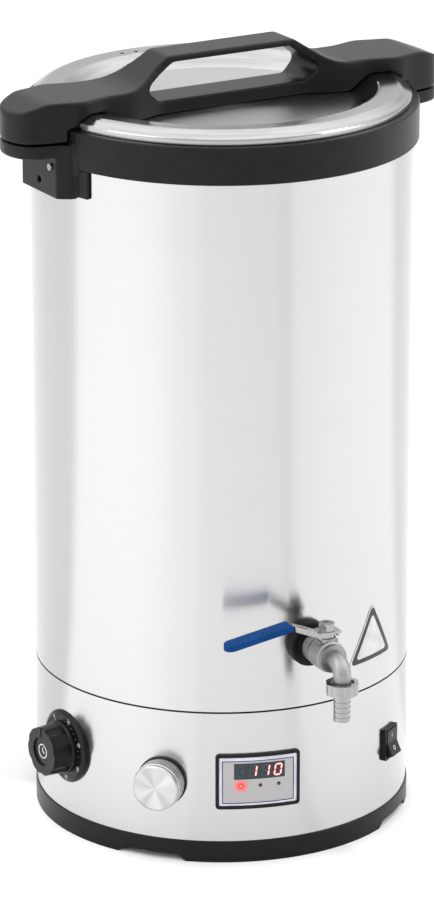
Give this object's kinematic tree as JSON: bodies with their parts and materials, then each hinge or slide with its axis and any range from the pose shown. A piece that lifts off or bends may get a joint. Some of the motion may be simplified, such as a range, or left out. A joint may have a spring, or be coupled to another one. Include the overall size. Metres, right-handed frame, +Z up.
{
  "type": "electric all in one brewer",
  "caption": "Tall electric brewing kettle with a twist-lock lid, lift-out malt pipe, ball-valve tap, timer, temperature knob, display and switch.",
  "frame": {"origin": "centre of the foot plane, on the kettle's axis", "axes": "+Z up along the kettle's axis, front (tap and display) towards -Y, lid bar and side handles along X"},
  "size_m": [0.408, 0.4, 0.6675],
  "materials": {
    "steel_brushed": "vertical brushed stainless",
    "lid_steel": "polished stainless",
    "black_plastic": "fine matte grain",
    "control_black": "satin moulded",
    "zinc_plate": "zinc plated",
    "screw_steel": "bright plated",
    "basket_steel": "satin stainless",
    "silicone": "translucent silicone",
    "rubber": "moulded rubber",
    "cast_steel": "fine cast stainless",
    "bright_steel": "bright turned steel",
    "blue_grip": "dipped vinyl",
    "ptfe": "ptfe",
    "turned_aluminium": "turned and knurled",
    "aluminium_plate": "mill finish",
    "fascia_grey": "printed film",
    "smoked_window": "smoked acrylic",
    "lamp_red": "diffused lamp",
    "board_green": "solder mask",
    "component_grey": "moulded casing"
  },
  "bodies": {
    "root": {"base_plate": "zinc_plate", "base_plate_screws": "zinc_plate", "base_ring": "black_plastic", "collar": "black_plastic", "control_board": "board_green", "display_frame": "control_black", "display_module": "board_green", "display_panel": "fascia_grey", "display_window": "smoked_window", "element_clamp": "zinc_plate", "element_plate": "aluminium_plate", "gland_nut": "cast_steel", "heat_sink": "aluminium_plate", "heating_element": "bright_steel", "hose_tail": "bright_steel", "hose_tail_washer": "silicone", "indicator_lamps": "lamp_red", "inlet_pins": "screw_steel", "kettle_vessel": "steel_brushed", "mains_inlet": "control_black", "potentiometer": "component_grey", "power_relay": "component_grey", "side_handle_left": "black_plastic", "side_handle_right": "black_plastic", "side_handle_screws": "screw_steel", "skirt_shell": "steel_brushed", "switch_housing": "control_black", "temperature_knob_seat": "control_black", "temperature_probe": "bright_steel", "terminal_block": "component_grey", "thermal_cutout": "component_grey", "timer_body": "component_grey", "timer_dial": "control_black", "triangle_badge": "fascia_grey", "valve_body": "cast_steel", "valve_elbow": "cast_steel", "valve_gasket_inner": "silicone", "valve_gasket_outer": "rubber", "valve_locknut": "cast_steel", "valve_seats": "ptfe"},
    "lid_seal_carrier": {"lid_seal": "silicone"},
    "lid": {"lid_shell": "lid_steel", "lid_bar": "black_plastic", "lid_screws": "screw_steel"},
    "malt_pipe_body": {"malt_pipe": "basket_steel", "bottom_sieve": "basket_steel", "top_sieve": "basket_steel", "overflow_tube": "basket_steel"},
    "bail": {"malt_pipe_bail": "zinc_plate"},
    "tap_lever": {"lever_strap": "bright_steel", "lever_grip": "blue_grip", "lever_nut": "bright_steel", "valve_stem": "bright_steel", "valve_ball": "bright_steel"},
    "union": {"union_nut": "bright_steel"},
    "timer": {"timer_knob": "control_black", "timer_shaft": "screw_steel"},
    "temperature": {"temperature_knob": "turned_aluminium", "potentiometer_shaft": "screw_steel"},
    "rocker": {"rocker_button": "control_black"}
  },
  "joints": [
    {"name": "lid_lift", "type": "slide", "parent": "root", "child": "lid_seal_carrier", "axis": [0, 0, 1], "range_m": [0, 0.75]},
    {"name": "lid_twist", "type": "hinge", "parent": "lid_seal_carrier", "child": "lid", "pos_m": [0, 0, 0.62], "axis": [0, 0, 1], "range_deg": [0, 25]},
    {"name": "malt_pipe_lift", "type": "slide", "parent": "root", "child": "malt_pipe_body", "axis": [0, 0, 1], "range_m": [0, 0.48]},
    {"name": "bail_swing", "type": "hinge", "parent": "malt_pipe_body", "child": "bail", "pos_m": [0, 0, 0.592], "axis": [1, 0, 0], "range_deg": [0, 90]},
    {"name": "tap_lever_turn", "type": "hinge", "parent": "root", "child": "tap_lever", "pos_m": [-0.01249, -0.1932, 0.192], "axis": [0, 0, 1], "range_deg": [0, 90]},
    {"name": "union_nut_turn", "type": "hinge", "parent": "root", "child": "union", "pos_m": [-0.0143, -0.22114, 0.172], "axis": [0, 0, 1], "continuous": true},
    {"name": "timer_knob_turn", "type": "hinge", "parent": "root", "child": "timer", "pos_m": [-0.15965, -0.0106, 0.0772], "axis": [0.9978, 0.0663, 0], "range_deg": [0, 300]},
    {"name": "temperature_knob_turn", "type": "hinge", "parent": "root", "child": "temperature", "pos_m": [-0.11946, -0.10644, 0.071], "axis": [0.7466, 0.6652, 0], "range_deg": [0, 270]},
    {"name": "rocker_tilt", "type": "hinge", "parent": "root", "child": "rocker", "pos_m": [0.08624, -0.13536, 0.0745], "axis": [0.8434, 0.5373, 0], "range_deg": [0, 24]}
  ],
  "couplings": [
    {"joint": "malt_pipe_lift", "follows": "lid_lift", "ratio": 0.64},
    {"joint": "bail_swing", "follows": "lid_lift", "rad_per_m": 2.0944}
  ]
}
